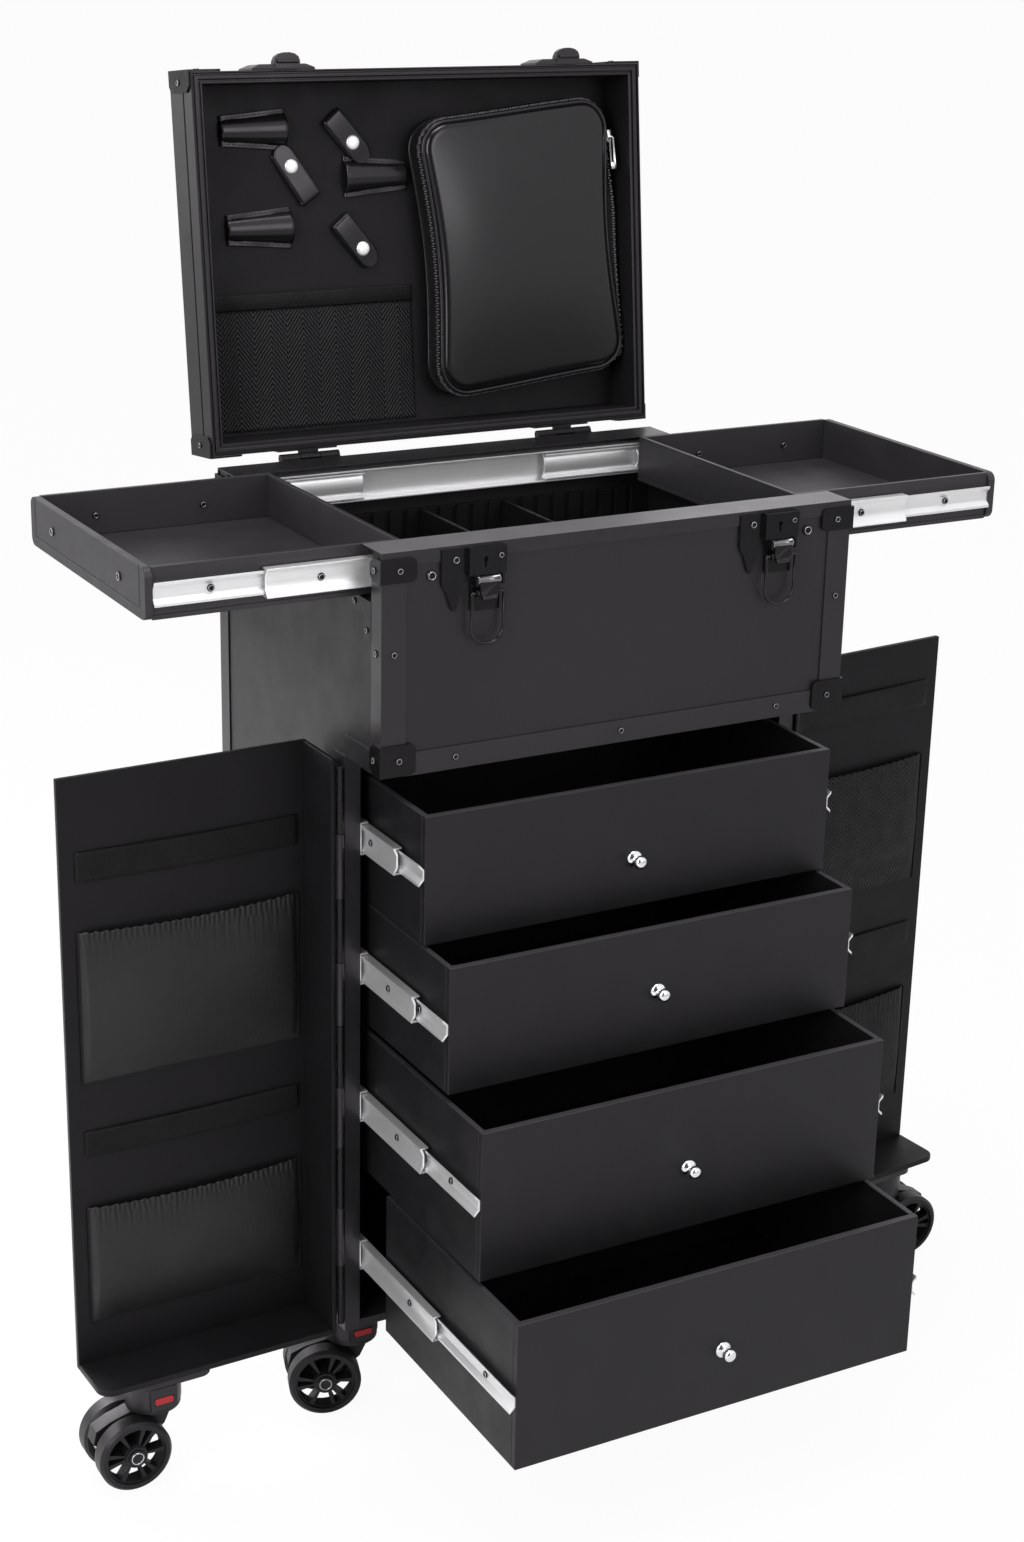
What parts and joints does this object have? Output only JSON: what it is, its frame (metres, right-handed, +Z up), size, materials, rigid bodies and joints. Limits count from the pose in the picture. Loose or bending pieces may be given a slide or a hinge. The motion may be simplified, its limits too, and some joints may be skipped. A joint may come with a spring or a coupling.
{
  "type": "rolling makeup case",
  "caption": "Upright black rolling makeup case with an opening lid, side slide-out trays, a drawer cabinet, deep swing doors with pockets, and swivel casters.",
  "frame": {"origin": "on the floor, under the middle of the open case as pictured", "axes": "+Z up, -Y to the front where the drawers open, +X to the right seen from the front"},
  "size_m": [0.6916, 0.4902, 0.8926],
  "materials": {
    "panel": "fine-grained black panel covering, low sheen",
    "trim": "black coated aluminium edge trim, satin",
    "steel": "black coated steel, semi-gloss",
    "zinc": "zinc plated steel slides and chrome knob",
    "cloth": "black nylon cloth and mesh",
    "wheel": "black moulded wheel, satin",
    "button": "dark red moulded button"
  },
  "bodies": {
    "case": {"side_walls": "panel", "front_wall": "panel", "back_wall": "panel", "floor_panels": "panel", "edge_trims": "trim", "case_fittings": "steel", "well_dividers": "cloth", "fixed_rails": "zinc", "caster_sockets": "steel"},
    "lid": {"lid_panel": "panel", "lid_frame": "trim", "lid_fittings": "steel", "lid_organiser": "cloth", "zip_bag": "cloth"},
    "left_tray": {"left_tray": "panel", "left_tray_fittings": "zinc"},
    "left_tray_mid": {"left_tray_mid_rails": "zinc"},
    "right_tray": {"right_tray": "panel", "right_tray_fittings": "zinc"},
    "right_tray_mid": {"right_tray_mid_rails": "zinc"},
    "drawer_1": {"drawer_1": "panel", "drawer_1_fittings": "zinc"},
    "drawer_1_mid": {"drawer_1_mid_rails": "zinc"},
    "drawer_2": {"drawer_2": "panel", "drawer_2_fittings": "zinc"},
    "drawer_2_mid": {"drawer_2_mid_rails": "zinc"},
    "drawer_3": {"drawer_3": "panel", "drawer_3_fittings": "zinc"},
    "drawer_3_mid": {"drawer_3_mid_rails": "zinc"},
    "drawer_4": {"drawer_4": "panel", "drawer_4_fittings": "zinc"},
    "drawer_4_mid": {"drawer_4_mid_rails": "zinc"},
    "left_door": {"left_door": "panel", "left_door_pockets": "cloth", "left_door_fittings": "steel"},
    "right_door": {"right_door": "panel", "right_door_pockets": "cloth", "right_door_fittings": "steel"},
    "left_latch_lever": {"left_latch_lever": "steel"},
    "left_latch_bail": {"left_latch_bail": "steel"},
    "right_latch_lever": {"right_latch_lever": "steel"},
    "right_latch_bail": {"right_latch_bail": "steel"},
    "front_left_fork": {"front_left_fork": "steel"},
    "front_left_wheels": {"front_left_wheels": "wheel"},
    "front_left_button": {"front_left_button": "button"},
    "front_right_fork": {"front_right_fork": "steel"},
    "front_right_wheels": {"front_right_wheels": "wheel"},
    "front_right_button": {"front_right_button": "button"},
    "rear_left_fork": {"rear_left_fork": "steel"},
    "rear_left_wheels": {"rear_left_wheels": "wheel"},
    "rear_left_button": {"rear_left_button": "button"},
    "rear_right_fork": {"rear_right_fork": "steel"},
    "rear_right_wheels": {"rear_right_wheels": "wheel"},
    "rear_right_button": {"rear_right_button": "button"},
    "left_door_fork": {"left_door_fork": "steel"},
    "left_door_wheels": {"left_door_wheels": "wheel"},
    "left_door_button": {"left_door_button": "button"},
    "right_door_fork": {"right_door_fork": "steel"},
    "right_door_wheels": {"right_door_wheels": "wheel"},
    "right_door_button": {"right_door_button": "button"}
  },
  "joints": [
    {"name": "lid_hinge", "type": "hinge", "parent": "case", "child": "lid", "pos_m": [0, 0.1795, 0.6303], "axis": [1, 0, 0], "range_deg": [0, 96.3]},
    {"name": "left_tray_slide", "type": "slide", "parent": "case", "child": "left_tray", "axis": [-1, 0, 0], "range_m": [-0.139, 0.011]},
    {"name": "left_tray_mid_slide", "type": "slide", "parent": "case", "child": "left_tray_mid", "axis": [-1, 0, 0], "range_m": [-0.0715, 0.00612]},
    {"name": "right_tray_slide", "type": "slide", "parent": "case", "child": "right_tray", "axis": [1, 0, 0], "range_m": [-0.139, 0.011]},
    {"name": "right_tray_mid_slide", "type": "slide", "parent": "case", "child": "right_tray_mid", "axis": [1, 0, 0], "range_m": [-0.0675, 0.0058]},
    {"name": "drawer_1_slide", "type": "slide", "parent": "case", "child": "drawer_1", "axis": [0, -1, 0], "range_m": [-0.0726, 0.1324]},
    {"name": "drawer_1_mid_slide", "type": "slide", "parent": "case", "child": "drawer_1_mid", "axis": [0, -1, 0], "range_m": [-0.0455, 0.08257]},
    {"name": "drawer_2_slide", "type": "slide", "parent": "case", "child": "drawer_2", "axis": [0, -1, 0], "range_m": [-0.1069, 0.0981]},
    {"name": "drawer_2_mid_slide", "type": "slide", "parent": "case", "child": "drawer_2_mid", "axis": [0, -1, 0], "range_m": [-0.0715, 0.06566]},
    {"name": "drawer_3_slide", "type": "slide", "parent": "case", "child": "drawer_3", "axis": [0, -1, 0], "range_m": [-0.1519, 0.0531]},
    {"name": "drawer_3_mid_slide", "type": "slide", "parent": "case", "child": "drawer_3_mid", "axis": [0, -1, 0], "range_m": [-0.0855, 0.03021]},
    {"name": "drawer_4_slide", "type": "slide", "parent": "case", "child": "drawer_4", "axis": [0, -1, 0], "range_m": [-0.2016, 0.0034]},
    {"name": "drawer_4_mid_slide", "type": "slide", "parent": "case", "child": "drawer_4_mid", "axis": [0, -1, 0], "range_m": [-0.1055, 0.00227]},
    {"name": "left_door_hinge", "type": "hinge", "parent": "case", "child": "left_door", "pos_m": [-0.173, -0.025, 0.075], "axis": [0, 0, 1], "range_deg": [-7.5, 104.5]},
    {"name": "right_door_hinge", "type": "hinge", "parent": "case", "child": "right_door", "pos_m": [0.173, -0.025, 0.075], "axis": [0, 0, -1], "range_deg": [0, 112]},
    {"name": "left_lever_pivot", "type": "hinge", "parent": "case", "child": "left_latch_lever", "pos_m": [-0.1005, -0.0806, 0.608], "axis": [-1, 0, 0], "range_deg": [0, 80]},
    {"name": "left_bail_pivot", "type": "hinge", "parent": "left_latch_lever", "child": "left_latch_bail", "pos_m": [-0.1005, -0.0806, 0.6], "axis": [-1, 0, 0], "range_deg": [0, 100]},
    {"name": "right_lever_pivot", "type": "hinge", "parent": "case", "child": "right_latch_lever", "pos_m": [0.1135, -0.0806, 0.608], "axis": [-1, 0, 0], "range_deg": [0, 80]},
    {"name": "right_bail_pivot", "type": "hinge", "parent": "right_latch_lever", "child": "right_latch_bail", "pos_m": [0.1135, -0.0806, 0.6], "axis": [-1, 0, 0], "range_deg": [0, 100]},
    {"name": "front_left_swivel", "type": "hinge", "parent": "case", "child": "front_left_fork", "pos_m": [-0.15, 0.009, 0.055], "axis": [0, 0, 1], "continuous": true},
    {"name": "front_left_spin", "type": "hinge", "parent": "front_left_fork", "child": "front_left_wheels", "pos_m": [-0.16902, 0.01518, 0.025], "axis": [-0.309, -0.9511, 0], "continuous": true},
    {"name": "front_left_press", "type": "slide", "parent": "case", "child": "front_left_button", "axis": [0, 1, 0], "range_m": [0, 0.0025], "stiffness_N_per_m": 300},
    {"name": "front_right_swivel", "type": "hinge", "parent": "case", "child": "front_right_fork", "pos_m": [0.15, 0.009, 0.055], "axis": [0, 0, 1], "continuous": true},
    {"name": "front_right_spin", "type": "hinge", "parent": "front_right_fork", "child": "front_right_wheels", "pos_m": [0.17, 0.009, 0.025], "axis": [0, 1, 0], "continuous": true},
    {"name": "front_right_press", "type": "slide", "parent": "case", "child": "front_right_button", "axis": [0, 1, 0], "range_m": [0, 0.0025], "stiffness_N_per_m": 300},
    {"name": "rear_left_swivel", "type": "hinge", "parent": "case", "child": "rear_left_fork", "pos_m": [-0.15, 0.129, 0.055], "axis": [0, 0, 1], "continuous": true},
    {"name": "rear_left_spin", "type": "hinge", "parent": "rear_left_fork", "child": "rear_left_wheels", "pos_m": [-0.15, 0.149, 0.025], "axis": [-1, 0, 0], "continuous": true},
    {"name": "rear_left_press", "type": "slide", "parent": "case", "child": "rear_left_button", "axis": [0, -1, 0], "range_m": [0, 0.0025], "stiffness_N_per_m": 300},
    {"name": "rear_right_swivel", "type": "hinge", "parent": "case", "child": "rear_right_fork", "pos_m": [0.15, 0.129, 0.055], "axis": [0, 0, 1], "continuous": true},
    {"name": "rear_right_spin", "type": "hinge", "parent": "rear_right_fork", "child": "rear_right_wheels", "pos_m": [0.15, 0.149, 0.025], "axis": [-1, 0, 0], "continuous": true},
    {"name": "rear_right_press", "type": "slide", "parent": "case", "child": "rear_right_button", "axis": [0, -1, 0], "range_m": [0, 0.0025], "stiffness_N_per_m": 300},
    {"name": "left_door_swivel", "type": "hinge", "parent": "left_door", "child": "left_door_fork", "pos_m": [-0.30251, -0.00738, 0.055], "axis": [0, 0, 1], "continuous": true},
    {"name": "left_door_spin", "type": "hinge", "parent": "left_door_fork", "child": "left_door_wheels", "pos_m": [-0.32251, -0.00738, 0.025], "axis": [0, -1, 0], "continuous": true},
    {"name": "left_door_press", "type": "slide", "parent": "left_door", "child": "left_door_button", "axis": [-0.0262, 0.9997, 0], "range_m": [0, 0.0025], "stiffness_N_per_m": 300},
    {"name": "right_door_swivel", "type": "hinge", "parent": "right_door", "child": "right_door_fork", "pos_m": [0.2991, 0.00937, 0.055], "axis": [0, 0, 1], "continuous": true},
    {"name": "right_door_spin", "type": "hinge", "parent": "right_door_fork", "child": "right_door_wheels", "pos_m": [0.3191, 0.00937, 0.025], "axis": [0, 1, 0], "continuous": true},
    {"name": "right_door_press", "type": "slide", "parent": "right_door", "child": "right_door_button", "axis": [0.1045, -0.9945, 0], "range_m": [0, 0.0025], "stiffness_N_per_m": 300}
  ],
  "couplings": [
    {"joint": "left_tray_mid_slide", "follows": "left_tray_slide", "ratio": 0.5108},
    {"joint": "right_tray_mid_slide", "follows": "right_tray_slide", "ratio": 0.482},
    {"joint": "drawer_1_mid_slide", "follows": "drawer_1_slide", "ratio": 0.6198},
    {"joint": "drawer_2_mid_slide", "follows": "drawer_2_slide", "ratio": 0.6642},
    {"joint": "drawer_3_mid_slide", "follows": "drawer_3_slide", "ratio": 0.5596},
    {"joint": "drawer_4_mid_slide", "follows": "drawer_4_slide", "ratio": 0.5208}
  ]
}
